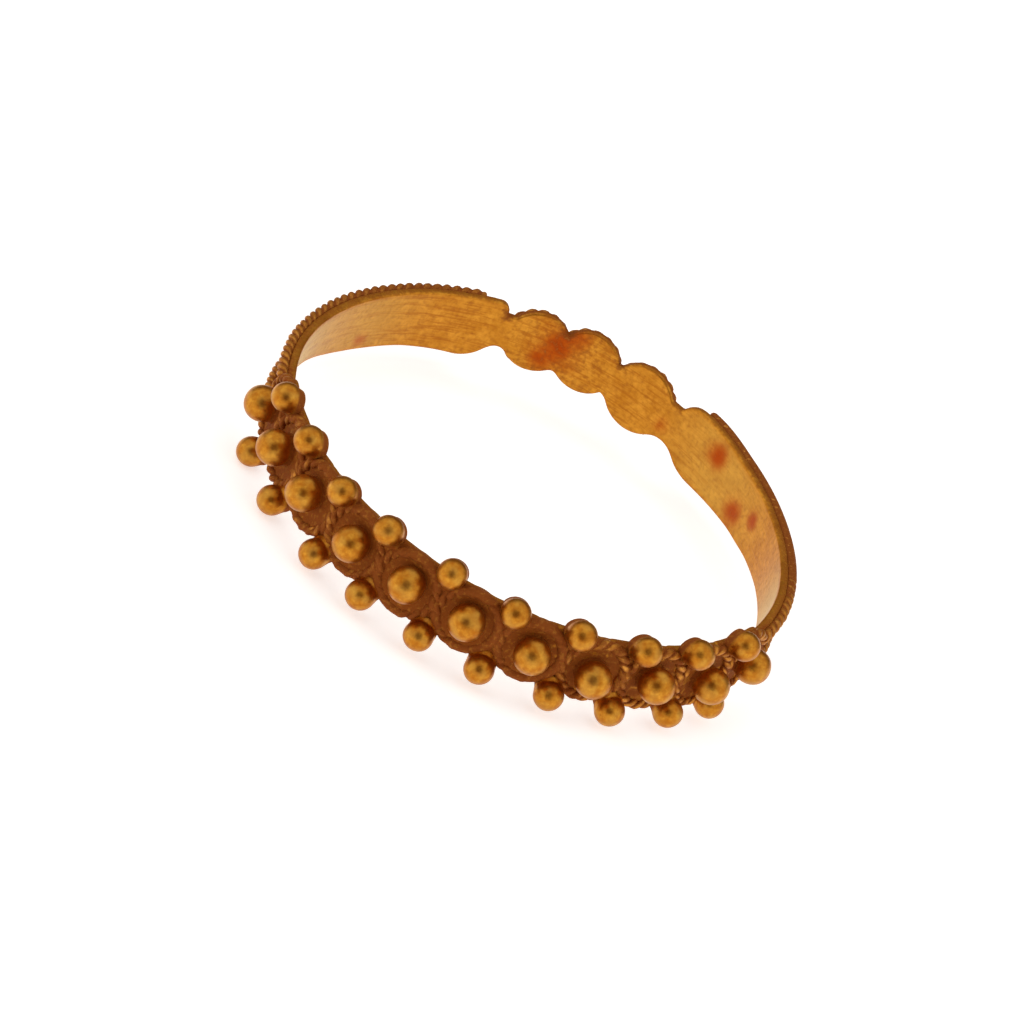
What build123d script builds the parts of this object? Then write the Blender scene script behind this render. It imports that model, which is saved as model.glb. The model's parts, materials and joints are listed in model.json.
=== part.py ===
from build123d import *
from collections import namedtuple
from math import asin, atan2, degrees, radians, sin, sqrt
import os

# A gold finger ring soldered together from small rosettes, so the whole ring is one solid.
# The finger hole's axis is Z, the middle front rosette faces -Y, and Z = 0 is the middle of the
# front rosettes. Sizes are in millimetres and angles in degrees.

# The band: flat gold sheet bent round the finger
bore_radius = 8.6
sheet_thickness = 0.28

# Twisted wire, measured over its two strands, and how it is laid along a strip's edge
wire_diameter = 0.37
edge_wire_sink = 0.03
edge_wire_lip = 0.04
edge_wire_stop = 0.9

# A rosette: a small round plate with a rim of twisted wire pressed down on it. The rims of two
# neighbours run into each other, and that sets how far apart the rosettes stand.
rim_radius = 1.0
rim_sink = 0.12
rim_overlap = 0.21
plate_lip = 0.07

# The necks that join one plate to the next start near the plates' middles. A front neck ends
# a little nearer to the middle of the band than the small granules' middles.
neck_start = 0.22
front_neck_drop = 0.14
back_neck_height = 1.2

# The rosettes at the back sit a little above the front row
back_rise = 0.25

# The plain strips at the two sides, narrower where they meet the front rosettes
strip_front_width = 1.3
strip_back_width = 2.5
strip_back_rise = 0.04
strip_root = 0.5
strip_end_gap = 0.25
strip_upper_corner = 0.35
strip_lower_corner = 1.5

# The granules: gold balls, each soldered down on a short round foot. A small granule reaches in
# over the two rims beside it, and its foot stands nearer to the middle of the band than it does.
large_granule_diameter = 1.2
large_granule_sink = 0.09
large_foot_diameter = 0.92
small_granule_diameter = 0.98
small_granule_sink = 0.08
small_granule_reach = 0.07
small_foot_diameter = 0.92
small_foot_inset = 0.15

# The rosettes at the back were cut and placed by eye. Each says how far it sits off its even
# place, as shares of a front plate's radius, and its size as a share of a front rosette's.
BackRosette = namedtuple("BackRosette", "along up size")
back_rosettes = [
    BackRosette(0.1, -0.1, 1.1), BackRosette(0.12, 0.04, 1), BackRosette(0, 0, 1),
]

# The granules were placed by eye too. Each shift says how far one granule sits off its even
# place, along the band and upwards, as shares of the granule's own radius.
Shift = namedtuple("Shift", "along up")
no_shift = Shift(0, 0)
large_shifts = [
    Shift(-0.3, -0.2), Shift(-0.2, -0.15), Shift(-0.15, 0), Shift(0.2, 0.1),
    Shift(0.15, 0.3), Shift(0, 0.3), Shift(0.05, 0.1), Shift(-0.1, -0.2),
    Shift(-0.1, 0), Shift(0.25, -0.3), Shift(0, 0.1),
]
upper_shifts = [
    no_shift, Shift(0.1, 0.25), Shift(0.05, -0.1), Shift(-0.3, 0.2), Shift(0.1, 0.25),
    Shift(0.15, 0), Shift(0.05, 0.05), Shift(0.15, 0.1), Shift(0, -0.1), Shift(-0.3, 0.1),
]
lower_shifts = [
    Shift(-0.85, -0.5), Shift(-0.4, -0.3), Shift(0.4, -0.2), Shift(0.1, 0), Shift(0.1, 0.1),
    Shift(-0.15, 0), Shift(0.1, 0), Shift(0, -0.15), Shift(0.1, -0.1), Shift(-0.4, 0.1),
]

# Sizes that follow from the ones above
wire_radius = wire_diameter / 2
sheet_radius = bore_radius + sheet_thickness
sheet_middle = bore_radius + sheet_thickness / 2
plate_radius = rim_radius + plate_lip
rim_reach = rim_radius + wire_radius
rim_level = sheet_radius + wire_radius - rim_sink
rim_top = rim_level + wire_radius
edge_wire_radius = sheet_radius + wire_radius - edge_wire_sink
shell_height = 3 * max(strip_back_width, 2 * plate_radius + back_rise)

# How far apart the rosettes stand, in a straight line and as an angle of the ring
spacing = 2 * rim_reach - rim_overlap
pitch = 2 * degrees(asin(spacing / 2 / rim_level))
neck_length = spacing - 2 * neck_start
front_angle = -90
back_angle = 90

# The small granules rest on both rims beside them, and the front necks end behind their feet
small_granule_radius = small_granule_diameter / 2
granule_to_rosette = rim_reach + small_granule_radius - small_granule_reach
small_row_height = sqrt(granule_to_rosette ** 2 - (spacing / 2) ** 2)
front_neck_height = 2 * (small_row_height - front_neck_drop)

# The right strip, seen from the front: where it starts and stops, and where its back corners are
front_rosettes = len(large_shifts)
last_rosette = front_angle + pitch * (front_rosettes - 1) / 2
last_neck = back_angle - pitch * len(back_rosettes) / 2
strip_start = last_rosette + degrees(strip_root / sheet_middle)
strip_stop = last_neck - degrees(strip_end_gap / sheet_middle)
strip_middle = (strip_start + strip_stop) / 2
strip_chord = 2 * sheet_middle * sin(radians(strip_stop - strip_start) / 2)
upper_corner_height = strip_back_width / 2 + strip_back_rise
lower_corner_height = strip_back_width / 2 - strip_back_rise


def row_angles(middle, count):
    """Angles of a row of evenly placed pieces, centred on the middle angle."""
    return [middle + (number - (count - 1) / 2) * pitch for number in range(count)]


def outward(angle, height):
    """A place on the ring's axis whose Z points out through the band and whose X runs along it."""
    away = Vector(1, 0, 0).rotate(Axis.Z, angle)
    along = Vector(0, 1, 0).rotate(Axis.Z, angle)
    return Plane(origin=(0, 0, height), x_dir=along, z_dir=away).location


def front_places():
    """The places of the front rosettes."""
    return [outward(angle, 0) for angle in row_angles(front_angle, front_rosettes)]


def back_places():
    """The places of the back rosettes, each shifted off its even place."""
    places = []
    for angle, rosette in zip(row_angles(back_angle, len(back_rosettes)), back_rosettes):
        along = degrees(rosette.along * plate_radius / sheet_middle)
        places.append(outward(angle + along, back_rise + rosette.up * plate_radius))
    return places


def edge_plane(corner_height, inset=0):
    """A place at the middle of the right strip's upper edge, sloped as it is, X outwards."""
    front_height = strip_front_width / 2
    slope = degrees(atan2(corner_height - front_height, strip_chord))
    middle_height = (front_height + corner_height) / 2 - inset
    return Pos(0, 0, middle_height) * Rot(0, 0, strip_middle) * Rot(slope, 0, 0)


def through_sheet(place, outline):
    """A prism of the outline that goes right through the sheet along the outward line."""
    start = bore_radius - sheet_thickness
    depth = 3 * sheet_thickness
    return place * Pos(0, 0, start) * extrude(outline, depth)


def bent_sheet():
    """The sheet bent round the finger, taller than the band, before its outline is cut."""
    return Cylinder(sheet_radius, shell_height) - Cylinder(bore_radius, shell_height)


def plates():
    """The round plates of the front and back rosettes, with the necks that join them."""
    front_neck = Rectangle(neck_length, front_neck_height)
    back_neck = Rectangle(neck_length, back_neck_height)
    outlines = []
    for place in front_places():
        outlines.append(through_sheet(place, Circle(plate_radius)))
    for place, rosette in zip(back_places(), back_rosettes):
        outlines.append(through_sheet(place, Circle(plate_radius * rosette.size)))
    for angle in row_angles(front_angle, front_rosettes - 1):
        outlines.append(through_sheet(outward(angle, 0), front_neck))
    for angle in row_angles(back_angle, len(back_rosettes) + 1):
        outlines.append(through_sheet(outward(angle, back_rise), back_neck))
    return outlines[0].fuse(*outlines[1:]) & bent_sheet()


def corner(strip, height):
    """The strip's short edge through the sheet at the back corner nearest to the height."""
    spot = Vector(sheet_middle, 0, height).rotate(Axis.Z, strip_stop)
    return strip.edges().filter_by(GeomType.LINE).sort_by_distance(spot)[0]


def right_strip():
    """The plain strip, widening to the back, with its two back corners rounded."""
    spare = Box(4 * sheet_radius, 4 * sheet_radius, shell_height,
                align=(Align.CENTER, Align.CENTER, Align.MIN))
    above = edge_plane(upper_corner_height) * spare
    below = mirror(edge_plane(lower_corner_height) * spare, about=Plane.XY)
    stretch = Rot(0, 0, strip_start) * Cylinder(
        2 * sheet_radius, shell_height, arc_size=strip_stop - strip_start,
        align=(Align.NONE, Align.NONE, Align.CENTER))
    strip = (bent_sheet() & stretch) - above - below
    strip = fillet(corner(strip, upper_corner_height), strip_upper_corner)
    return fillet(corner(strip, -lower_corner_height), strip_lower_corner)


def right_edge_wires():
    """The two wires along the right strip, from the last front rim to near the back corners."""
    inset = wire_radius - edge_wire_lip
    height_at_rim = strip_front_width / 2 - inset
    reach_over_rim = sqrt(rim_radius ** 2 - height_at_rim ** 2)
    start = last_rosette + degrees(reach_over_rim / edge_wire_radius)
    stop = strip_stop - degrees(edge_wire_stop / edge_wire_radius)
    wire = Rot(0, 0, start - strip_middle) * Torus(
        edge_wire_radius, wire_radius, major_angle=stop - start, align=Align.NONE)
    upper = edge_plane(upper_corner_height, inset) * wire
    lower = mirror(edge_plane(lower_corner_height, inset) * wire, about=Plane.XY)
    return [upper, lower]


def rims():
    """The wire rims of all the rosettes, pressed down on the round plates."""
    lift = Pos(0, 0, rim_level)
    front = [place * lift * Torus(rim_radius, wire_radius) for place in front_places()]
    back = [place * lift * Torus(rim_radius * rosette.size, wire_radius)
            for place, rosette in zip(back_places(), back_rosettes)]
    return front + back


def foot(diameter, top):
    """A round foot that stands in the sheet and reaches out to the top level."""
    return Pos(0, 0, sheet_middle) * Cylinder(
        diameter / 2, top - sheet_middle, align=(Align.CENTER, Align.CENTER, Align.MIN))


def granule_row(shifts, height, diameter, sink, its_foot):
    """A row of granules, each with its foot, spread over the front of the ring."""
    radius = diameter / 2
    level = sheet_radius + radius - sink
    granule = Pos(0, 0, level) * Sphere(radius)
    row = []
    for angle, shift in zip(row_angles(front_angle, len(shifts)), shifts):
        along = degrees(shift.along * radius / level)
        place = outward(angle + along, height + shift.up * radius)
        row += [place * its_foot, place * granule]
    return row


def large_granules():
    """One large granule at the middle of each front rosette."""
    middle_level = sheet_radius + large_granule_diameter / 2 - large_granule_sink
    return granule_row(large_shifts, 0, large_granule_diameter, large_granule_sink,
                       foot(large_foot_diameter, middle_level))


def small_granules():
    """Two rows of small granules in the hollows between the front rosettes."""
    small_foot = foot(small_foot_diameter, rim_top)
    upper = granule_row(upper_shifts, small_row_height, small_granule_diameter,
                        small_granule_sink, Pos(0, -small_foot_inset, 0) * small_foot)
    lower = granule_row(lower_shifts, -small_row_height, small_granule_diameter,
                        small_granule_sink, Pos(0, small_foot_inset, 0) * small_foot)
    return upper + lower


def filigree_ring():
    """All the pieces soldered into one solid."""
    side = [right_strip(), *right_edge_wires()]
    other_side = [mirror(piece, about=Plane.YZ) for piece in side]
    pieces = side + other_side + rims() + large_granules() + small_granules()
    return plates().fuse(*pieces)


os.makedirs("parts", exist_ok=True)
export_step(filigree_ring(), "parts/filigree_ring.step")
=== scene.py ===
import json
import math
from collections import namedtuple

import bpy
import numpy as np
from mathutils import Matrix, Vector, noise
from mathutils.geometry import delaunay_2d_cdt
from mathutils.kdtree import KDTree


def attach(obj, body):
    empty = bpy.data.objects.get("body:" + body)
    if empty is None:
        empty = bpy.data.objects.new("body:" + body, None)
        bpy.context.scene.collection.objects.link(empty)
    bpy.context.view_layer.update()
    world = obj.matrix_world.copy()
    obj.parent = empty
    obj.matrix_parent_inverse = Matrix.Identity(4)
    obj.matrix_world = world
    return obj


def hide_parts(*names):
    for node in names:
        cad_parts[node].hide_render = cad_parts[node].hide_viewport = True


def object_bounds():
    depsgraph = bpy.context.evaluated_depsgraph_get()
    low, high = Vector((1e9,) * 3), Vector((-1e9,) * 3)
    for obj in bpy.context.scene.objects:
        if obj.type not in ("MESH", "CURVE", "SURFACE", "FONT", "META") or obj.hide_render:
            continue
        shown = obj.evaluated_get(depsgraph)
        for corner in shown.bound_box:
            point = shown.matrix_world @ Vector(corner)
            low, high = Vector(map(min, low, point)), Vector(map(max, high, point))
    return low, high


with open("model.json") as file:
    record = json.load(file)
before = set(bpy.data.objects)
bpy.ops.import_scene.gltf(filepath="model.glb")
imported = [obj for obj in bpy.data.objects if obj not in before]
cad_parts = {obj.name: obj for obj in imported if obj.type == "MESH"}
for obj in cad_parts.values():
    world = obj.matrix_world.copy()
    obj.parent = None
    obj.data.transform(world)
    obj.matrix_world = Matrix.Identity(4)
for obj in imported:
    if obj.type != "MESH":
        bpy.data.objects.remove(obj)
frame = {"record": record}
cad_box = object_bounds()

# The camera: it looks down on the ring, which lies on its side, from in front of the granules,
# and is turned on its own axis, as the photograph was taken. Lengths are in millimetres.
mm = 0.001
camera_height_angle = math.radians(30.07)
camera_side_angle = math.radians(1.65)
camera_roll = math.radians(29.27)
camera_distance = 161.4
ring_right_of_middle, ring_above_middle = 0.623, 0.752
sensor_width, picture_width, focal_length_in_pixels = 36, 1024, 5000
nearest_drawn = 10

to_camera = Vector((-math.cos(camera_height_angle) * math.sin(camera_side_angle),
                    -math.cos(camera_height_angle) * math.cos(camera_side_angle),
                    math.sin(camera_height_angle)))
sideways = Vector((math.cos(camera_side_angle), -math.sin(camera_side_angle), 0))
upright = to_camera.cross(sideways)
picture_right = sideways * math.cos(camera_roll) + upright * math.sin(camera_roll)
picture_up = upright * math.cos(camera_roll) - sideways * math.sin(camera_roll)
camera_spot = to_camera * camera_distance * mm
aim = -(picture_right * ring_right_of_middle + picture_up * ring_above_middle) * mm
backwards = (camera_spot - aim).normalized()
rightwards = picture_up.cross(backwards).normalized()
turned = Matrix((rightwards, backwards.cross(rightwards), backwards)).transposed()

camera = bpy.data.objects.new("camera", bpy.data.cameras.new("camera"))
camera.data.sensor_width = sensor_width
camera.data.lens = focal_length_in_pixels / picture_width * sensor_width
camera.data.clip_start = nearest_drawn * mm
camera.matrix_world = Matrix.Translation(camera_spot) @ turned.to_4x4()
bpy.context.scene.collection.objects.link(camera)
bpy.context.scene.camera = camera
bpy.context.scene.view_settings.view_transform = "Standard"


# The light: a white tent round the camera's side of the table, a little dimmer overhead, in a dim
# room. The camera looks through a dark hole in it, which each granule mirrors as a small dark dot.
def node(tree, kind, settings):
    """Adds a node. Settings are its properties and inputs, and an input may be an output."""
    made = tree.nodes.new(kind)
    for name, value in settings.items():
        if isinstance(name, str) and hasattr(made, name):
            setattr(made, name, value)
        elif isinstance(value, bpy.types.NodeSocket):
            tree.links.new(value, made.inputs[name])
        else:
            made.inputs[name].default_value = value
    return made


def ramp(tree, value, edge, ends=(0.0, 1.0), kind="SMOOTHSTEP"):
    """The rise or fall from one end to the other while the value crosses the edge."""
    return node(tree, "ShaderNodeMapRange",
                {"interpolation_type": kind, "Value": value, "From Min": edge[0],
                 "From Max": edge[1], "To Min": ends[0], "To Max": ends[1]}).outputs[0]


def mix(tree, share, under, over):
    """A colour with another one laid over it by a share."""
    return node(tree, "ShaderNodeMix",
                {"data_type": "RGBA", 0: share, 6: under, 7: over}).outputs[2]


def maths(tree, operation, *values):
    """The result of one operation on values or outputs."""
    return node(tree, "ShaderNodeMath",
                {"operation": operation, **dict(enumerate(values))}).outputs[0]


def bumpy(tree, place, size, detail, roughness=0.5):
    """Noise from 0 to 1 at a place, with bumps of about the size in millimetres."""
    return node(tree, "ShaderNodeTexNoise",
                {"Vector": place, "Scale": 1 / (size * mm), "Detail": detail,
                 "Roughness": roughness}).outputs[0]


tent_brightness = 1.05
overhead_brightness = 0.85
dim_warm_room = 0.16, 0.1, 0.04
dark_lens_hole = 0.07, 0.012, 0.0
# How squarely a direction faces the camera, or straight up, where each part begins and is full
tent_edge, lens_hole_edge, overhead_edge = (-0.4, 0.0), (0.845, 0.93), (0.7, 0.95)
tent = bpy.data.worlds.new("white_light_tent")
tent.use_nodes = True
bpy.context.scene.world = tent
tent_tree = tent.node_tree
tent_tree.nodes.clear()
ways = node(tent_tree, "ShaderNodeTexCoord", {}).outputs["Generated"]
facing = node(tent_tree, "ShaderNodeVectorMath",
              {"operation": "DOT_PRODUCT", 0: ways, 1: to_camera}).outputs["Value"]
upwards = node(tent_tree, "ShaderNodeSeparateXYZ", {0: ways}).outputs["Z"]
in_tent = maths(tent_tree, "MULTIPLY", ramp(tent_tree, facing, tent_edge),
                ramp(tent_tree, upwards, overhead_edge, (1.0, overhead_brightness)))
room_or_tent = mix(tent_tree, in_tent, (*dim_warm_room, 1), (*[tent_brightness] * 3, 1))
beside_hole = ramp(tent_tree, facing, lens_hole_edge, (1.0, 0.0))
glow = node(tent_tree, "ShaderNodeBackground",
            {"Color": mix(tent_tree, beside_hole, (*dark_lens_hole, 1), room_or_tent)})
node(tent_tree, "ShaderNodeOutputWorld", {"Surface": glow.outputs[0]})


# The table top: a large sheet of matt white card on a light table, so that it glows a little and
# shadows on it stay soft. The ring lies on it on its side.
def linear(code):
    """An sRGB hex colour as the opaque linear colour that a shader takes."""
    parts = [int(code[start:start + 2], 16) / 255 for start in (1, 3, 5)]
    return tuple(part / 12.92 if part <= 0.04045 else ((part + 0.055) / 1.055) ** 2.4
                 for part in parts) + (1.0,)


card_half_width = 1500
card_tooth, card_tooth_depth, card_tooth_strength = 0.25, 0.02, 0.05
card_white = "#F6F5F2"
card_glow = 0.55
card_corners = (-1, -1), (1, -1), (1, 1), (-1, 1)
card = bpy.data.meshes.new("table_card")
card.from_pydata([(x * card_half_width * mm, y * card_half_width * mm, cad_box[0].z)
                  for x, y in card_corners], [], [(0, 1, 2, 3)])
# Matt card: it spreads the light evenly, with no gloss and only a faint tooth
white_card = bpy.data.materials.new("matt_white_card")
white_card.use_nodes = True
card_tree = white_card.node_tree
card_tree.nodes.clear()
card_place = node(card_tree, "ShaderNodeTexCoord", {}).outputs["Object"]
card_bump = node(card_tree, "ShaderNodeBump",
                 {"Strength": card_tooth_strength, "Distance": card_tooth_depth * mm,
                  "Height": bumpy(card_tree, card_place, card_tooth, 2.0)})
card_shader = node(card_tree, "ShaderNodeBsdfPrincipled",
                   {"Base Color": linear(card_white), "Roughness": 0.9,
                    "Emission Color": linear("#FFFFFF"), "Emission Strength": card_glow,
                    "Normal": card_bump.outputs[0]})
node(card_tree, "ShaderNodeOutputMaterial", {"Surface": card_shader.outputs[0]})
card.materials.append(white_card)
table_top = bpy.data.objects.new("table_top", card)
bpy.context.scene.collection.objects.link(table_top)

# The band: high-carat gold sheet, cut to a row of round plates in front, plain strips at the
# sides and three round plates at the back, then bent round the finger. Its cut edges are worn
# round, its inner face is rubbed by the finger and its outer face is brown with old tarnish.
bore_radius = frame["record"]["mounts"][0]["dims"]["r_mm"]
sheet_thickness = 0.28
sheet_radius = bore_radius + sheet_thickness
sheet_middle = bore_radius + sheet_thickness / 2
front_angle, back_angle = -90, 90

# A rosette is a plate with a rim of wire on it. The rims of two neighbours run into each other.
front_rosettes, back_rosettes = 11, 3
wire_diameter = 0.37
wire_radius = wire_diameter / 2
rim_radius, rim_sink, rim_overlap, plate_lip = 1.0, 0.12, 0.21, 0.07
rim_level = sheet_radius + wire_radius - rim_sink
plate_radius = rim_radius + plate_lip
spacing = 2 * (rim_radius + wire_radius) - rim_overlap
pitch = 2 * math.degrees(math.asin(spacing / 2 / rim_level))

# The small granules reach in over two rims, and the front necks end a little short of them
small_granule_diameter, small_granule_reach = 0.98, 0.07
small_granule_radius = small_granule_diameter / 2
small_row_height = math.sqrt(
    (rim_radius + wire_radius + small_granule_radius - small_granule_reach) ** 2
    - (spacing / 2) ** 2)
neck_start, front_neck_drop = 0.22, 0.14
neck_length = spacing - 2 * neck_start
front_neck_height = 2 * (small_row_height - front_neck_drop)
back_neck_height = 1.2
# How far the back plates sit above the front row
back_rise = 0.25
# Solder fills the lower notch beside the right strip this much more than the other notches
notch_fill = 0.2

# The strips, and the rounding of each one's upper and lower corner at the back
strip_front_width, strip_back_width, strip_back_rise = 1.3, 2.5, 0.04
strip_root, strip_end_gap = 0.5, 0.25
right_corner_radii, left_corner_radii = (0.8, 1.5), (0.35, 1.2)
# The back plates stand a little proud of their rims all round, and most of it upwards
back_plate_spare = 0.08
# How far the cut edges are worn round, and how far the saw strayed
worn_edge, hand_cut, hand_cut_length = 0.07, 0.02, 0.8


def row_angles(middle, count):
    """Angles of a row of evenly placed pieces round the ring, in degrees."""
    return [middle + (number - (count - 1) / 2) * pitch for number in range(count)]


front_angles = row_angles(front_angle, front_rosettes)
front_joint_angles = row_angles(front_angle, front_rosettes - 1)
back_angles = row_angles(back_angle, back_rosettes)
back_joint_angles = row_angles(back_angle, back_rosettes + 1)
# Where each rim is, and its size as a share of an even rim's
Rim = namedtuple("Rim", "angle height size")
# The front rims were set one by one: how far each is off the middle of the band, and its size
front_rims = [Rim(angle, up, size) for angle, (up, size) in zip(front_angles, [
    (-0.08, 1.04), (-0.09, 1.06), (-0.1, 1.06), (-0.06, 1.05), (-0.02, 1.02), (0.02, 1),
    (-0.04, 1.01), (-0.08, 1.04), (-0.1, 1.05), (-0.1, 1.05), (-0.04, 1.03)])]
# So were the back ones: how far each is off its even place, as shares of a plate's radius
back_rims = [
    Rim(angle + math.degrees(along * plate_radius / sheet_middle),
        back_rise + up * plate_radius, size)
    for angle, (along, up, size) in zip(
        back_angles, [(0.13, -0.14, 1.1), (0.2, 0, 1.02), (-0.04, -0.08, 1)])]
strip_start = front_angles[-1] + math.degrees(strip_root / sheet_middle)
strip_stop = back_joint_angles[0] - math.degrees(strip_end_gap / sheet_middle)
strip_middle = (strip_start + strip_stop) / 2
strip_chord = 2 * sheet_middle * math.sin(math.radians(strip_stop - strip_start) / 2)
upper_corner = strip_back_width / 2 + strip_back_rise
lower_corner = strip_back_width / 2 - strip_back_rise
# Where the two ends of the flat sheet meet, on the left strip
seam_angle = 193


def laid_flat(angle):
    """How far along the flat sheet an angle of the ring lies, from the ring's right side."""
    return np.radians(angle) * sheet_middle


def edge_height(angle, corner):
    """How high the strip's edge runs at an angle, above the middle or, mirrored, below it."""
    rise = (corner - strip_front_width / 2) / strip_chord
    across = sheet_middle * np.sin(np.radians(angle - strip_middle))
    return (strip_front_width / 2 + corner) / 2 + rise * across


def rounded(corner, before, after, radius):
    """The arc that rounds a corner between the points before and after it."""
    arc_points = 14
    one, other = before - corner, after - corner
    one, other = one / np.linalg.norm(one), other / np.linalg.norm(other)
    half = math.acos(one @ other) / 2
    middle = corner + (one + other) / np.linalg.norm(one + other) * radius / math.sin(half)
    starts = corner + one * radius / math.tan(half) - middle
    stops = corner + other * radius / math.tan(half) - middle
    steps = [starts * (1 - share) + stops * share for share in np.linspace(0, 1, arc_points)]
    return np.array([middle + step / np.linalg.norm(step) * radius for step in steps])


def smooth_step(values, low, high):
    """0 below low, 1 above high and a smooth rise between."""
    share = np.clip((values - low) / (high - low), 0, 1)
    return share * share * (3 - 2 * share)


def hump(angle, middle, spread):
    """1 at the middle angle, falling smoothly to 0 at the spread on either side."""
    return np.cos(np.clip((angle - middle) / spread, -1, 1) * np.pi / 2) ** 2


def stretch(angles, rise, fall):
    """1 along a stretch of the ring, coming on over one pair of angles and going over another."""
    return smooth_step(angles, *rise) * (1 - smooth_step(angles, *fall))


def strays(angle, below):
    """How far up a strip's hand-cut upper or lower edge strays from its line at a ring angle."""
    # Each is a height, in a hump at an angle or a rise between two angles
    if below:
        left_belly = -0.27 * hump(angle, 151, 26)
        right_root = -0.17 * (1 - smooth_step(angle, -12, 60))
        left_root = -0.07 * smooth_step(angle, 168, 186)
        return left_belly + right_root + left_root
    right_rise = 0.1 * hump(angle, 58, 12)
    right_dip = -0.065 * hump(angle, 25, 28)
    right_root = 0.06 * (1 - smooth_step(angle, -10, 10))
    left_root = 0.1 * smooth_step(angle, 165, 190)
    return right_rise + right_dip + right_root + left_root


def strip_outline(start, stop, corner_radii, mirrored):
    """A strip laid flat on the right side, from one angle to another, with its rounded corners."""
    edge_points, straight_points = 80, 9
    angles = np.linspace(start, stop, edge_points)
    ring_angles = 180 - angles if mirrored else angles
    upper = np.stack([laid_flat(angles), edge_height(angles, upper_corner)
                      + strays(ring_angles, False)], 1)
    lower = np.stack([laid_flat(angles), strays(ring_angles, True)
                      - edge_height(angles, lower_corner)], 1)
    if not corner_radii:
        return np.concatenate([lower, upper[::-1]])
    at_upper = rounded(upper[-1], upper[-straight_points], lower[-1], corner_radii[0])
    at_lower = rounded(lower[-1], upper[-1], lower[-straight_points], corner_radii[1])
    upper = upper[upper[:, 0] < at_upper[0, 0]]
    lower = lower[lower[:, 0] < at_lower[-1, 0]]
    return np.concatenate([lower, at_lower[::-1], at_upper[::-1], upper[::-1]])


def round_plate(angle, height, radius):
    """A round plate laid flat."""
    circle_points = 90
    turns = np.linspace(0, 2 * np.pi, circle_points, endpoint=False)
    return np.stack([laid_flat(angle) + radius * np.cos(turns), height + radius * np.sin(turns)], 1)


def neck(angle, height, width):
    """The neck that joins two plates, laid flat."""
    reach = np.array([[-1, -1], [1, -1], [1, 1], [-1, 1]]) / 2
    return reach * [neck_length, width] + [laid_flat(angle), height]


def other_side(outline, turns_back=0):
    """An outline of the right side, mirrored to the left side."""
    return (outline * [-1, 1] + [laid_flat(180 - turns_back), 0])[::-1]


shapes = [round_plate(rim.angle, rim.height, plate_radius * rim.size) for rim in front_rims]
shapes += [round_plate(rim.angle, rim.height + back_plate_spare,
                       plate_radius * rim.size + back_plate_spare) for rim in back_rims]
shapes += [neck(angle, 0, front_neck_height) for angle in front_joint_angles]
shapes += [neck(angle, back_rise, back_neck_height) for angle in back_joint_angles]
shapes.append(neck(back_joint_angles[0], back_rise - notch_fill / 2, back_neck_height + notch_fill))
shapes.append(strip_outline(strip_start, strip_stop, right_corner_radii, False))
shapes.append(other_side(strip_outline(180 - seam_angle, strip_stop, left_corner_radii, True)))
shapes.append(other_side(strip_outline(strip_start, 180 - seam_angle, None, True), 360))


def triangles_inside(points, outlines):
    """Fills flat outlines with triangles between all the points: (points, triangles)."""
    whole_hull, merge_within = 0, 1e-6
    spots, _, corners, _, _, owners = delaunay_2d_cdt(
        [Vector(point) for point in points], [], outlines, whole_hull, merge_within)
    kept = [corner for corner, owner in zip(corners, owners) if owner]
    return np.array([tuple(spot) for spot in spots]), kept


def outer_edge(corners):
    """The directed edges that only one triangle has, as where each one leads."""
    sides = {(corner[side], corner[(side + 1) % 3]) for corner in corners for side in range(3)}
    return {start: stop for start, stop in sides if (stop, start) not in sides}


def spread_along(loop, step):
    """More points on a closed line, no further apart than the step."""
    found = []
    for start, stop in zip(loop, np.roll(loop, -1, axis=0)):
        count = max(1, math.ceil(np.linalg.norm(stop - start) / step))
        found += [start + (stop - start) * share / count for share in range(count)]
    return np.array(found)


outline_step, measuring_step = 0.07, 0.02
starts = np.cumsum([0] + [len(shape) for shape in shapes])
spots, corners = triangles_inside(
    np.concatenate(shapes), [list(range(a, b)) for a, b in zip(starts[:-1], starts[1:])])
onward = outer_edge(corners)
loop = [min(onward, key=lambda spot: spots[spot][0])]
while onward[loop[-1]] != loop[0]:
    loop.append(onward[loop[-1]])
outline = spread_along(spots[loop], outline_step)
seam_starts, seam_stops = laid_flat(seam_angle - 360), laid_flat(seam_angle)


def on_seam(points):
    """True for the points where the flat sheet's two ends meet."""
    hair = 1e-4
    return (abs(points[:, 0] - seam_starts) < hair) | (abs(points[:, 0] - seam_stops) < hair)


def bent(points, level):
    """Flat points bent round the finger at a level out from the ring's axis."""
    turns = points[:, 0] / sheet_middle
    return np.stack([level * np.cos(turns), level * np.sin(turns), points[:, 1]], 1)


def uneven(points, size):
    """A smooth unevenness from -1 to 1 at each point, with bumps of about the size."""
    return np.array([noise.noise(Vector(point) / size) for point in points])


def edge_normals(line):
    """Unit directions into the sheet at each point of its closed outline."""
    ahead = np.roll(line, -1, axis=0) - np.roll(line, 1, axis=0)
    return np.stack([-ahead[:, 1], ahead[:, 0]], 1) / np.linalg.norm(ahead, axis=1)[:, None]


def below_joints(angles, reach):
    """True for the points of the outline's lower edge that are within reach of the joints."""
    nearby = [abs(outline[:, 0] - laid_flat(angle)) < reach for angle in angles]
    highest = 0.1
    return (outline[:, 1] < highest) & np.any(nearby, axis=0)


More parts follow.
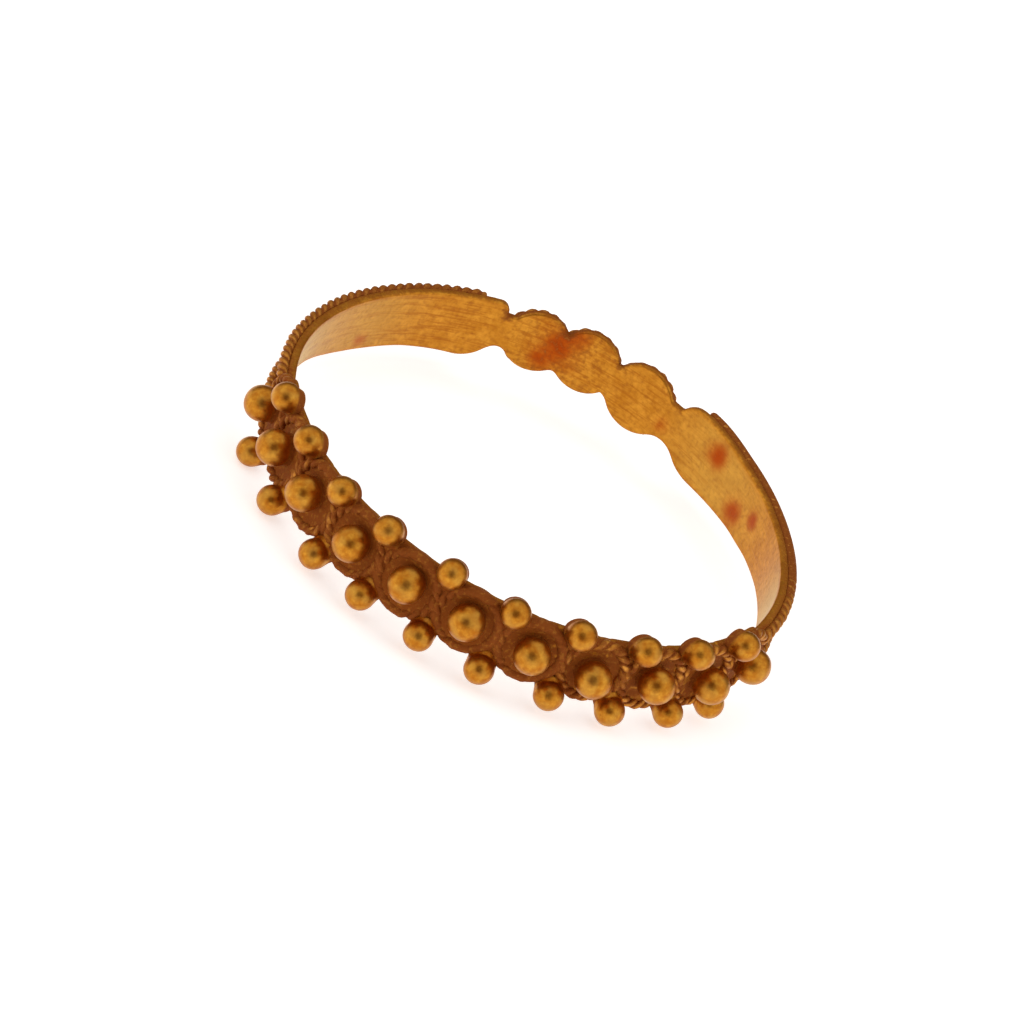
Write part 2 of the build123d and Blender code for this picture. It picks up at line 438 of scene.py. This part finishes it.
# The saw left the corners a little round. The notches below the back plates are rounder, where
# solder ran in and filled them: there the outline is eased on, but only outwards.
outer_notch_reach, inner_notch_reach = 0.8, 0.35
saw_turns, solder_turns = 3, 67
free = ~on_seam(outline)
in_notch = below_joints(back_joint_angles[::3], outer_notch_reach)
in_notch |= below_joints(back_joint_angles[1:3], inner_notch_reach)
for turn in range(saw_turns + solder_turns):
    eased = (np.roll(outline, 1, axis=0) + 2 * outline + np.roll(outline, -1, axis=0)) / 4
    outwards = np.sum((eased - outline) * edge_normals(outline), axis=1) < 0
    moving = free & (in_notch & outwards if turn >= saw_turns else True)
    outline[moving] = eased[moving]
inwards = edge_normals(outline)
saw_strays = hand_cut * uneven(bent(outline, sheet_middle), hand_cut_length)
outline[free] += (inwards * saw_strays[:, None])[free]
fine_edge = spread_along(outline, measuring_step)
fine_edge = fine_edge[~on_seam(fine_edge)]
edge_tree = KDTree(len(fine_edge))
for number, spot in enumerate(fine_edge):
    edge_tree.insert((*spot, 0), number)
edge_tree.balance()


def from_edge(points):
    """How far each flat point is from the cut edge."""
    return np.array([edge_tree.find((*point, 0))[2] for point in points])


# The sheet's points: rows that follow the worn edge, wherever it leaves them room to be about
# as deep as they should, then an even grid
edge_row_depths, true_depth_share = (0.01, 0.025, 0.045, 0.07, 0.11), 0.9
grid_step, grid_reach, grid_depth = 0.12, 1.6, 0.16
filling = []
for depth in edge_row_depths:
    row = outline + inwards * depth
    filling.append(row[free & (from_edge(row) > true_depth_share * depth)])
columns, rows = np.meshgrid(
    np.arange(seam_starts + grid_step, seam_stops - grid_step / 2, grid_step),
    np.arange(-grid_reach, grid_reach, grid_step))
columns = columns + (np.arange(len(rows)) % 2 * grid_step / 2)[:, None]
grid = np.stack([columns.ravel(), rows.ravel()], 1)
filling.append(grid[from_edge(grid) > grid_depth])
spots, corners = triangles_inside(np.concatenate([outline, *filling]), [list(range(len(outline)))])
depths = from_edge(spots)
count = len(spots)
flat_angles = np.degrees(spots[:, 0] / sheet_middle)
# The same angles counted on over the seam, from the middle of the front round to itself
ring_angles = np.where(flat_angles < front_angle, flat_angles + 360, flat_angles)
seam = on_seam(spots)
faces = [(c, b, a) for a, b, c in corners]
faces += [(a + count, b + count, c + count) for a, b, c in corners]
faces += [(a, b, b + count, a + count) for a, b in outer_edge(corners).items()
          if not (seam[a] and seam[b])]

# Solder and old dirt half fill the plates outside, most of all in the middle of the front and
# up against the rims
dent_depth, dent_size = 0.012, 1.6
solder_depth, solder_by_rim, solder_bumps, solder_bump_size = 0.1, 0.08, 0.04, 0.45
most_filled_angle, least_filled = -100, 0.6
# Where the front plates end and the back ones begin and end. The front ones begin at the seam,
# and its two sides match.
front_end, back_start, back_end = (-14, -10), (68, 70), (110, 112)
in_front = np.maximum(1 - smooth_step(flat_angles, *front_end),
                      1 - smooth_step(seam_angle - flat_angles, 0, 1))
on_plates = np.maximum(in_front, stretch(flat_angles, back_start, back_end))
from_rim = np.min([
    abs(np.hypot(spots[:, 0] - laid_flat(rim.angle), spots[:, 1] - rim.height)
        - rim_radius * rim.size) for rim in front_rims + back_rims], axis=0)
filled = least_filled + (1 - least_filled) * (
    1 - smooth_step(abs(flat_angles - most_filled_angle), 22, 40))
filling_level = (solder_depth + solder_by_rim * (1 - smooth_step(from_rim, 0.08, 0.4))
                 + solder_bumps * uneven(bent(spots, sheet_middle), solder_bump_size))
filling_level *= on_plates * filled * smooth_step(depths, 0.05, 0.22)
drop = worn_edge - np.sqrt(worn_edge ** 2 - np.clip(worn_edge - depths, 0, worn_edge) ** 2)
dents = dent_depth * uneven(bent(spots, sheet_middle), dent_size)
inner = bent(spots, bore_radius + drop + dents)
outer = bent(spots, sheet_radius - drop + dents + filling_level)

# Where the finger's side carries orange-red stains, and the painted shade in the upper notches at
# the back: soft round spots on the flat sheet, each as strong as its share of 1
Spot = namedtuple("Spot", "angle height size strength")
stains = [Spot(98, 0.4, 1.7, 0.65), Spot(96, 1, 0.9, 0.9), Spot(98.5, 0.42, 1.1, 0.95),
          Spot(99.8, 0.05, 0.95, 0.9), Spot(100.8, -0.25, 0.8, 0.9), Spot(97.6, 0.85, 0.7, 1),
          Spot(94.5, -0.3, 0.7, 0.45), Spot(53.5, 0.54, 0.75, 1), Spot(42, -0.44, 0.8, 1),
          Spot(34.8, 0.07, 0.55, 0.95), Spot(147.5, -0.81, 0.5, 0.7), Spot(69.6, -0.1, 0.5, 0.7)]
# Painted shade in the upper notches at the back, where the notches are dark
notch_shade_spots = [Spot(112.3, 0.92, 0.4, 0.75), Spot(98, 1.1, 0.45, 0.75), Spot(84.2, 0.95, 0.4, 0.45),
              Spot(68.2, 0.9, 0.4, 0.45)]


def marked(places):
    """How strongly each flat point is marked by the spots."""
    soft_edge = 1.2
    found = np.zeros(count)
    for place in places:
        away = np.hypot(spots[:, 0] - laid_flat(place.angle), spots[:, 1] - place.height)
        fade = 1 - smooth_step(away, 0, soft_edge * place.size)
        found = np.maximum(found, place.strength * fade)
    return found


stained = marked(stains)
# The finger has rubbed the sheet pale where each strip starts, and a little further back
right_tan = stretch(ring_angles, (-60, -30), (-2, 22))
left_tan = stretch(ring_angles, (152, 176), (196, 226))
slightly_pale = 0.4 * hump(ring_angles, 50, 26) + 0.45 * hump(ring_angles, 150, 22)
tan = np.clip(right_tan + left_tan + slightly_pale, 0, 1) * smooth_step(depths, 0.02, 0.2)
# Scratches run along the back and the left side, and along the lower half of the right strip's
# back end
on_lower_right = hump(ring_angles, 61, 13) * (1 - smooth_step(spots[:, 1], -0.3, 0.5))
at_back_and_left = stretch(ring_angles, (66, 76), (190, 220))
fewer_on_left = 1 - 0.6 * smooth_step(ring_angles, 128, 150)
scratched = 0.35 + 0.35 * on_lower_right + 0.65 * at_back_and_left * fewer_on_left
# The inner face is a little brown all over, more so at its worn edge and on the stained plate,
# with painted shade in the upper notches at the back
at_worn_edge = 1 - smooth_step(depths, 0.0, 0.06)
inside = 0.1 + 0.2 * at_worn_edge + 0.12 * hump(ring_angles, 98, 16)
inside = np.maximum(inside, marked(notch_shade_spots))
# Small flecks of bare gold show through the dirt on the front plates, most of them to the right
fleck_size = 0.2
flecks = smooth_step(uneven(bent(spots, sheet_radius), fleck_size), 0.1, 0.4)
on_right = smooth_step(flat_angles, -95, -60) * (flat_angles < 0)
on_left = 1 - smooth_step(flat_angles, -135, -115)
flecks *= in_front * (0.2 + 0.4 * on_right + 0.15 * on_left)
outside = 0.45 + 0.4 * on_plates - flecks


def both_faces(inside_values, outside_values=0):
    """A mark's values on the sheet's inner and outer points, which is none outside if not said."""
    return np.concatenate([inside_values, outside_values + 0 * inside_values])


def mesh_piece(name, points, faces, material, marks):
    """A smooth mesh from points in millimetres, with a value from 0 to 1 per point for each mark."""
    mesh = bpy.data.meshes.new(name)
    mesh.from_pydata((points * mm).tolist(), [], faces)
    for mark, values in marks.items():
        mesh.attributes.new(mark, "FLOAT", "POINT").data.foreach_set("value", np.float32(values))
    mesh.shade_smooth()
    mesh.materials.append(material)
    piece = bpy.data.objects.new(name, mesh)
    bpy.context.scene.collection.objects.link(piece)
    return piece


# Real pits are much finer than this: these are coarse enough to show
pit_size = 0.15
# How much broader the broad streaks are than the fine ones
broad_share = 2.5
brown_in_pits, scratch_brown, pale_gold = "#A8641C", "#A05A18", "#CAA24C"
stain_red, crust_dust = "#A63E08", "#B07028"
# Where on its noise each look begins and is full, and how strong it is there
cloud_edge, grain_edge, scratch_edge = (0.35, 0.7), (0.38, 0.66), (0.94, 1.25)
stain_edge, dust_edge, crust_edge = (0.3, 1.3), (0.52, 0.68), (0.1, 0.7)
scratch_strength, stain_strength, dust_strength = 0.62, 0.95, 0.6
# How much the clouds in the gold show in a stain's edge
stain_clouds = 0.5
# The crust is hardly metal, rougher than the gold and pitted more deeply
crust_metal, crust_roughness = 0.2, 0.75
gold_pits, crust_more_pits = 0.5, 2.0
bump_strength, little_sheen = 0.6, 0.1


def unrolled(tree, place, along_share):
    """The ring's coordinates unrolled: how far along the band, times the share, and up it."""
    from_seam = node(tree, "ShaderNodeVectorRotate",
                     {"rotation_type": "Z_AXIS", "Vector": place,
                      "Angle": math.radians(180 - seam_angle)}).outputs[0]
    parts = node(tree, "ShaderNodeSeparateXYZ", {0: from_seam}).outputs
    turn = maths(tree, "ARCTAN2", parts["Y"], parts["X"])
    along = maths(tree, "MULTIPLY", turn, sheet_middle * mm * along_share)
    return node(tree, "ShaderNodeCombineXYZ", {"X": along, "Y": parts["Z"]}).outputs[0]


def aged_gold(name, rubbed, deep, tarnish_and_shade, cloud_size, streak_length, streak_width, relief,
              roughness, grain, ragged):
    """Old high-carat gold: rubbed bright where it stands up, brown with tarnish and painted shade
    where marked.

    Grain says how brown its pits are, and ragged how torn the edges of the brown crust are.
    """
    material = bpy.data.materials.new(name)
    material.use_nodes = True
    tree = material.node_tree
    tree.nodes.clear()
    place = node(tree, "ShaderNodeTexCoord", {}).outputs["Object"]
    marks = {mark: node(tree, "ShaderNodeAttribute", {"attribute_name": mark}).outputs["Fac"]
             for mark in ("tarnish_and_shade", "stain", "tan", "scratched")}
    along_band = unrolled(tree, place, streak_width / streak_length)
    streaks = bumpy(tree, along_band, streak_width, 4.0, 0.6)
    broad_streaks = bumpy(tree, along_band, broad_share * streak_width, 2.0)
    clouds = bumpy(tree, place, cloud_size, 3.0)
    pits = bumpy(tree, place, pit_size, 3.0, 0.6)
    # Bare gold: deeper in soft clouds, brown in its pits, pale where it is rubbed
    in_clouds = ramp(tree, clouds, cloud_edge, kind="LINEAR")
    gold = mix(tree, in_clouds, linear(rubbed), linear(deep))
    in_pits = ramp(tree, pits, grain_edge, (0.0, grain), kind="LINEAR")
    gold = mix(tree, in_pits, gold, linear(brown_in_pits))
    gold = mix(tree, marks["tan"], gold, linear(pale_gold))
    # Scratches along the band, then the stains
    both_streaks = maths(tree, "ADD", streaks, broad_streaks)
    scratches = ramp(tree, both_streaks, scratch_edge, (0.0, scratch_strength))
    scratches = maths(tree, "MULTIPLY", scratches, marks["scratched"])
    gold = mix(tree, scratches, gold, linear(scratch_brown))
    clouded_stain = maths(tree, "MULTIPLY_ADD", clouds, stain_clouds, marks["stain"])
    on_stain = ramp(tree, clouded_stain, stain_edge, (0.0, stain_strength))
    gold = mix(tree, on_stain, gold, linear(stain_red))
    # Tarnish lies over all as a matt crust with dust in it, and the same brown is painted shade
    # where the mark holds it. Its edge is torn by the pits' noise, which is about a half.
    ragged_tarnish_and_shade = maths(tree, "MULTIPLY_ADD", pits, ragged, marks["tarnish_and_shade"])
    crusted_and_shaded = ramp(tree, ragged_tarnish_and_shade, [end + 0.5 * ragged for end in crust_edge])
    dust = ramp(tree, pits, dust_edge, (0.0, dust_strength))
    crust = mix(tree, dust, linear(tarnish_and_shade), linear(crust_dust))
    pit_depth = maths(tree, "MULTIPLY_ADD", crusted_and_shaded, crust_more_pits, gold_pits)
    height = maths(tree, "MULTIPLY_ADD", pits, pit_depth, streaks)
    bump = node(tree, "ShaderNodeBump",
                {"Strength": bump_strength, "Distance": relief * mm, "Height": height})
    shader = node(tree, "ShaderNodeBsdfPrincipled", {
        "Base Color": mix(tree, crusted_and_shaded, gold, crust), "Specular IOR Level": little_sheen,
        "Metallic": ramp(tree, crusted_and_shaded, (0.0, 1.0), (1.0, crust_metal), kind="LINEAR"),
        "Roughness": ramp(tree, crusted_and_shaded, (0.0, 1.0), (roughness, crust_roughness), kind="LINEAR"),
        "Normal": bump.outputs[0]})
    node(tree, "ShaderNodeOutputMaterial", {"Surface": shader.outputs[0]})
    return material


# Worn gold sheet: a soft satin gloss, with fine scratches along the band, drawn coarser than
# real ones so that they show
rubbed_sheet = aged_gold(
    "finger_rubbed_sheet_gold", rubbed="#D29030", deep="#BA7720", tarnish_and_shade="#8E4A14",
    cloud_size=0.6, streak_length=0.8, streak_width=0.07, relief=0.012, roughness=0.38,
    grain=0.42, ragged=0.9)
sheet = mesh_piece("bent_sheet", np.concatenate([inner, outer]), faces, rubbed_sheet, {
    "tarnish_and_shade": both_faces(inside, outside), "stain": both_faces(stained),
    "tan": both_faces(tan), "scratched": both_faces(scratched)})
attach(sheet, "root")
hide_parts("filigree_ring")

# The rims: two fine gold wires twisted together, bent to a ring and soldered down round each
# plate. The tops of the strands are rubbed bright and the grooves between them are brown.
strand_radius = 0.11
strand_offset = wire_radius - strand_radius
# How far along the wire a strand takes to go once round
lay = 0.76
# Strands aren't quite even: by how much, and in bumps of what length. The other two values keep
# the bumps of the two strands, and of the solder, from being alike.
strand_unevenness, strand_bump_length = 0.16, 0.16
other_strand, in_solder = 3, 7
# The solder that the wire lies in: how thick it is, how deep it sits, and how a flood lifts it
solder_radius, solder_sink = 0.12, 0.06
flood_lift, flood_spread, flood_length = 0.04, 0.05, 0.7
flood_variation, most_flooded = 0.8, 1.5
flood_patches = -0.5, 0.1
# How brown the solder is, and how far up a strand the brown reaches, as the cosine of the angle
# from its top
solder_brown, groove_brown = 0.8, (-0.2, 0.7)
tube_sides, rim_points_round = 8, 112
# Where an open wire's end is cut off, in strand radii, so that its rounding stops short of a point
blunt_end = 0.02


def tube_faces(start, length, closed):
    """The faces of a tube whose points start at a number, a row of the length for each side."""
    found = []
    for side in range(tube_sides):
        row = start + side * length
        next_row = start + (side + 1) % tube_sides * length
        for here in range(length if closed else length - 1):
            there = (here + 1) % length
            found.append((row + here, next_row + here, next_row + there, row + there))
    return found


def directions(line, closed):
    """Unit directions along an open or closed line at each of its points."""
    ahead = (np.roll(line, -1, axis=0) - np.roll(line, 1, axis=0) if closed
             else np.gradient(line, axis=0))
    return ahead / np.linalg.norm(ahead, axis=1)[:, None]


def twisted_wire(line, outward, closed, first_turn, flood):
    """Two strands twisted round a line: (points, faces, how deep in the groove each point is)."""
    steps = np.linalg.norm(np.roll(line, -1, axis=0) - line, axis=1)
    length = steps.sum() if closed else steps[:-1].sum()
    run = np.concatenate([[0], np.cumsum(steps)[:-1]])
    turns = max(1, round(length / lay)) if closed else length / lay
    size = np.ones(len(line))
    if not closed:
        end = np.minimum(run, length - run) / strand_radius
        size = np.sqrt(np.clip(1 - (1 - np.clip(end, blunt_end, 1)) ** 2, 0, 1))
    ahead = directions(line, closed)
    across = np.cross(ahead, outward)
    across /= np.linalg.norm(across, axis=1)[:, None]
    out = np.cross(across, ahead)
    side_angles = [2 * np.pi * side / tube_sides for side in range(tube_sides)]
    points, faces, groove = [], [], []
    for strand in (0, 1):
        turn = first_turn - 2 * np.pi * (turns * run / length + strand / 2)
        off = out * np.cos(turn)[:, None] + across * np.sin(turn)[:, None]
        middle = line + off * strand_offset
        bumps = uneven(middle + other_strand * strand, strand_bump_length)
        fat = strand_radius * (1 + strand_unevenness * bumps)
        beside = np.cross(directions(middle, closed), off)
        for angle in side_angles:
            points.append(middle + (off * math.cos(angle) + beside * math.sin(angle))
                          * (fat * size)[:, None])
            depth = 1 - smooth_step(math.cos(angle), *groove_brown)
            groove.append(np.full(len(line), depth))
        faces += tube_faces(len(line) * tube_sides * strand, len(line), closed)
    # The solder bed, flooded here and there
    patches = smooth_step(uneven(line + in_solder, flood_length), *flood_patches)
    flooded = np.maximum(flood * patches, flood - flood_variation)
    flooded = np.minimum(flooded, most_flooded) * size
    bed = line - out * (solder_sink - flood_lift * flooded)[:, None]
    for angle in side_angles:
        points.append(bed + (out * math.cos(angle) + across * math.sin(angle))
                      * (solder_radius * size + flood_spread * flooded)[:, None])
        groove.append(np.full(len(line), solder_brown))
    faces += tube_faces(len(line) * tube_sides * 2, len(line), closed)
    return np.concatenate(points), faces, np.concatenate(groove)


def joined(parts):
    """Several (points, faces, marks) as one."""
    points = np.concatenate([part[0] for part in parts])
    starts = np.cumsum([0] + [len(part[0]) for part in parts])
    faces = [tuple(corner + start for corner in face)
             for part, start in zip(parts, starts) for face in part[1]]
    return points, faces, np.concatenate([part[2] for part in parts])


def outward_frame(angle):
    """Unit directions at an angle of the ring: along the band, up it and out of it."""
    turn = math.radians(angle)
    return (np.array([-math.sin(turn), math.cos(turn), 0]), np.array([0, 0, 1.0]),
            np.array([math.cos(turn), math.sin(turn), 0]))


def rim_wire(rim, flood):
    """The twisted wire rim of one plate."""
    along, up, out = outward_frame(rim.angle)
    radius = rim_radius * rim.size
    turns = np.linspace(0, 2 * np.pi, rim_points_round, endpoint=False)[:, None]
    line = out * rim_level + up * rim.height + radius * (along * np.cos(turns) + up * np.sin(turns))
    return twisted_wire(line, np.broadcast_to(out, line.shape), True, rim.angle, flood)


# How far solder and dirt cover each rim: most in the middle of the front, and the back evenly
rim_floods = [0.8, 0.9, 0.9, 1, 1.2, 1.3, 1.2, 0.7, 0.5, 0.4, 0.4] + [0.5] * len(back_rims)
rims = [rim_wire(rim, flood) for rim, flood in zip(front_rims + back_rims, rim_floods)]
rim_points, rim_faces, rim_groove = joined(rims)
# Dirt on the tops of the strands, in patches about as long as half a turn of the twist
dirt_patch_size, least_dirt, most_patchy = 0.35, 0.05, 1.1
dirt = 0.6 * np.repeat(rim_floods, len(rims[0][0]))
dirt_patches = (most_patchy - dirt) * uneven(rim_points, dirt_patch_size)
strand_top_brown = np.clip(least_dirt + dirt + dirt_patches, 0, 1)
# Drawn gold wire, worn: satin on the tops of the strands and matt brown between them
twisted_gold = aged_gold(
    "twisted_wire_gold", rubbed="#D09040", deep="#BC782A", tarnish_and_shade="#8E4A18",
    cloud_size=0.4, streak_length=0.3, streak_width=0.1, relief=0.01, roughness=0.45,
    grain=0.4, ragged=0.9)
rim_wires = mesh_piece("rim_wires", rim_points, rim_faces, twisted_gold,
                       {"tarnish_and_shade": strand_top_brown + (1 - strand_top_brown) * rim_groove})
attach(rim_wires, "root")
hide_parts("filigree_ring")

# The edge wires: the same twisted wire soldered along both edges of each plain strip, from the
# last rim nearly to the strip's back corners.
edge_wire_sink, edge_wire_lip, edge_wire_stop = 0.03, 0.04, 0.9
edge_wire_level = sheet_radius + wire_radius - edge_wire_sink
edge_wire_inset = wire_radius - edge_wire_lip
edge_wire_points = 260
# Solder smooths over the right upper wire, from a little way behind the last rim
little_flooded, well_flooded, flood_start = 0.3, 2.3, (-5, 15)


def edge_wire(corner, mirrored, below):
    """One twisted edge wire of the right strip, or its mirror images."""
    height_at_rim = strip_front_width / 2 - edge_wire_inset
    over_rim = math.sqrt(rim_radius ** 2 - height_at_rim ** 2)
    start = front_angles[-1] + math.degrees(over_rim / edge_wire_level)
    stop = strip_stop - math.degrees(edge_wire_stop / edge_wire_level)
    slope = math.atan2(corner - strip_front_width / 2, strip_chord)
    middle_height = (strip_front_width / 2 + corner) / 2 - edge_wire_inset
    turns = np.radians(np.linspace(start, stop, edge_wire_points) - strip_middle)
    x, y = edge_wire_level * np.cos(turns), edge_wire_level * np.sin(turns) * math.cos(slope)
    z = middle_height + edge_wire_level * np.sin(turns) * math.sin(slope)
    turned = math.radians(strip_middle)
    line = np.stack([x * math.cos(turned) - y * math.sin(turned),
                     x * math.sin(turned) + y * math.cos(turned), z], 1)
    line *= [-1 if mirrored else 1, 1, -1 if below else 1]
    angles = np.degrees(np.arctan2(line[:, 1], line[:, 0]))
    line[:, 2] += strays(np.where(angles < front_angle, angles + 360, angles), below)
    outward = line * [1, 1, 0] / edge_wire_level
    flood = little_flooded
    if not mirrored and not below:
        more = smooth_step(angles, *flood_start)
        flood = little_flooded + (well_flooded - little_flooded) * more
    return twisted_wire(line, outward, False, corner, flood)


edge_points, edge_faces, edge_groove = joined([
    edge_wire(corner, mirrored, below) for mirrored in (False, True)
    for corner, below in ((upper_corner, False), (lower_corner, True))])
# The wires are browner towards the back of the left strip
wire_angles = np.degrees(np.arctan2(edge_points[:, 1], edge_points[:, 0]))
edge_wires = mesh_piece("edge_wires", edge_points, edge_faces, twisted_gold,
                        {"tarnish_and_shade": 0.25 + 0.5 * edge_groove + 0.25 * hump(wire_angles, 135, 50)})
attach(edge_wires, "root")
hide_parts("filigree_ring")

# The large granules: gold balls melted round, one soldered in the middle of each front plate on
# a short collar of solder. Each is a little out of round, and brown down by its foot: a solder
# crust there, with painted shade up the side of the ball that faces the plate.
large_radius, large_sink, large_foot_radius = 0.6, 0.09, 0.46
large_level = sheet_radius + large_radius - large_sink
# How wide the solder spreads round each foot
large_spread = 0.1
# How far each sits off its plate's middle, along and up, as shares of its radius
large_shifts = [(-0.3, -0.2), (-0.2, -0.15), (-0.15, 0), (0.2, 0.1), (0.15, 0.3), (0, 0.3),
                (0.05, 0.1), (-0.1, -0.2), (-0.1, 0), (0.25, -0.3), (0, 0.1)]
# How smoothly ball, foot and spread solder run into each other, and how round the foot's edge is
foot_blend, spread_blend, foot_edge = 0.12, 0.14, 0.1
spread_thickness = 0.01
# How far out of round a ball is, in bumps of what size
out_of_round, ball_bump_size = 0.02, 0.5
rings_from_top, ball_sides, tried_depths = 46, 60, 140
nearest_tried, farthest_tried = 0.3, 1.7
# How brown the foot is, with its crust and painted shade, and how high up the ball that fades,
# in radii from its middle
foot_crust_and_shade, foot_crust_and_shade_fades = 0.9, (-0.85, -0.2)
# The soft patches where a ball is rubbed pale
pale_patch_size, pale_patch_strength = 0.4, 0.25


def melted_together(one, other, blend):
    """The distance to two shapes whose join is filled smoothly over the blend's width."""
    share = np.clip(0.5 + (other - one) / (2 * blend), 0, 1)
    return other * (1 - share) + one * share - blend * share * (1 - share)


def granule(angle, height, radius, sink, foot_radius, foot_top, foot_up=0, spread=0):
    """A ball melted onto its solder foot: (points, faces, each point's brown of crust and painted
    shade).
    """
    along, up, out = outward_frame(angle)
    middle = sheet_radius + radius - sink
    rings = np.linspace(0, np.pi, rings_from_top)
    turns = np.linspace(0, 2 * np.pi, ball_sides, endpoint=False)
    ways = np.array([(math.sin(ring) * math.cos(turn), math.sin(ring) * math.sin(turn),
                      math.cos(ring)) for ring in rings[1:-1] for turn in turns]
                    + [(0, 0, 1), (0, 0, -1)])
    # Along each way out of the ball's middle, the surface is the last place inside the shape
    reaches = np.linspace(nearest_tried * radius, farthest_tried * radius, tried_depths)
    reaches = reaches[:, None, None]
    tried = ways[None] * reaches
    ball = np.linalg.norm(tried, axis=2) - radius
    from_foot = np.hypot(tried[..., 0], tried[..., 1] - foot_up)
    level = tried[..., 2] + middle
    beside = from_foot - foot_radius + foot_edge
    above = abs(level - (foot_top + sheet_middle) / 2) - (foot_top - sheet_middle) / 2 + foot_edge
    foot = (np.hypot(np.maximum(beside, 0), np.maximum(above, 0))
            + np.minimum(np.maximum(beside, above), 0) - foot_edge)
    shape = melted_together(ball, foot, foot_blend)
    if spread:
        ledge = np.maximum(from_foot - foot_radius - spread,
                           level - sheet_radius - spread_thickness)
        shape = melted_together(shape, ledge, spread_blend)
    shape = np.maximum(shape, sheet_middle - level)
    last = len(reaches) - 1 - np.argmax((shape < 0)[::-1], axis=0)
    last = np.minimum(last, len(reaches) - 2)
    pick = np.arange(len(ways))
    here, there = shape[last, pick], shape[last + 1, pick]
    reach = reaches[last, 0, 0] + (reaches[1, 0, 0] - reaches[0, 0, 0]) * here / (here - there)
    middle_point = out * middle + up * height
    points = ways * reach[:, None]
    points = points[:, :1] * along + points[:, 1:2] * up + points[:, 2:] * out
    bumps = uneven(points + middle_point, ball_bump_size)
    points = middle_point + points * (1 + out_of_round * bumps)[:, None]
    rows = len(rings) - 2
    faces = []
    for row in range(rows - 1):
        upper, lower = row * ball_sides, (row + 1) * ball_sides
        for side in range(ball_sides):
            nearby = (side + 1) % ball_sides
            faces.append((upper + side, lower + side, lower + nearby, upper + nearby))
    top, bottom, last_row = rows * ball_sides, rows * ball_sides + 1, (rows - 1) * ball_sides
    faces += [(top, side, (side + 1) % ball_sides) for side in range(ball_sides)]
    faces += [(bottom, last_row + (side + 1) % ball_sides, last_row + side)
              for side in range(ball_sides)]
    # Brown at the foot: solder crust, and painted shade up the ball's side towards the plate
    return points, faces, 1 - smooth_step(ways[:, 2] * reach / radius, *foot_crust_and_shade_fades)


def pale_patches(points):
    """How pale the gold is at each point, in soft patches where it is rubbed most."""
    return pale_patch_strength * smooth_step(uneven(points, pale_patch_size), -0.1, 0.45)


large_parts = []
for angle, (along, up) in zip(front_angles, large_shifts):
    angle += math.degrees(along * large_radius / large_level)
    large_parts.append(granule(angle, up * large_radius, large_radius, large_sink,
                               large_foot_radius, large_level, spread=large_spread))
large_points, large_faces, large_crust_and_shade = joined(large_parts)
# Gold melted to a ball: smooth enough to mirror the tent softly, and finely pitted all over
granule_gold = aged_gold(
    "melted_granule_gold", rubbed="#D09030", deep="#B46C1A", tarnish_and_shade="#8E4A18",
    cloud_size=0.22, streak_length=0.2, streak_width=0.12, relief=0.016, roughness=0.38,
    grain=0.7, ragged=0.3)
large_granules = mesh_piece("large_granules", large_points, large_faces, granule_gold,
                            {"tarnish_and_shade": foot_crust_and_shade * large_crust_and_shade, "tan": pale_patches(large_points)})
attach(large_granules, "root")
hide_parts("filigree_ring")

# The small granules: smaller balls in two rows, each in the hollow between two plates, resting
# against both rims on a solder collar that stands a little nearer to the middle of the band.
small_sink, small_foot_radius, small_foot_inset = 0.08, 0.46, 0.15
small_level = sheet_radius + small_granule_radius - small_sink
# How far each sits off its even place, along and up, as shares of its radius
upper_shifts = [(0, 0), (0.1, 0.25), (0.05, -0.1), (-0.3, 0.2), (0.05, 0.35), (0.15, 0),
                (0.05, 0.2), (0.25, 0.1), (-0.1, 0.05), (-0.3, 0.1)]
lower_shifts = [(-0.95, -0.5), (-0.42, -0.37), (0.4, -0.2), (0.1, -0.02), (0.08, 0.03), (-0.15, 0),
                (0.1, 0), (0, -0.15), (0.1, -0.1), (-0.6, 0.05)]
small_parts = []
for side, shifts in ((1, upper_shifts), (-1, lower_shifts)):
    for angle, (along, up) in zip(front_joint_angles, shifts):
        angle += math.degrees(along * small_granule_radius / small_level)
        height = side * small_row_height + up * small_granule_radius
        small_parts.append(granule(angle, height, small_granule_radius, small_sink,
                                   small_foot_radius, rim_level + wire_radius,
                                   -side * small_foot_inset))
small_points, small_faces, small_crust_and_shade = joined(small_parts)
small_granules = mesh_piece("small_granules", small_points, small_faces, granule_gold,
                            {"tarnish_and_shade": foot_crust_and_shade * small_crust_and_shade, "tan": pale_patches(small_points)})
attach(small_granules, "root")
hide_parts("filigree_ring")
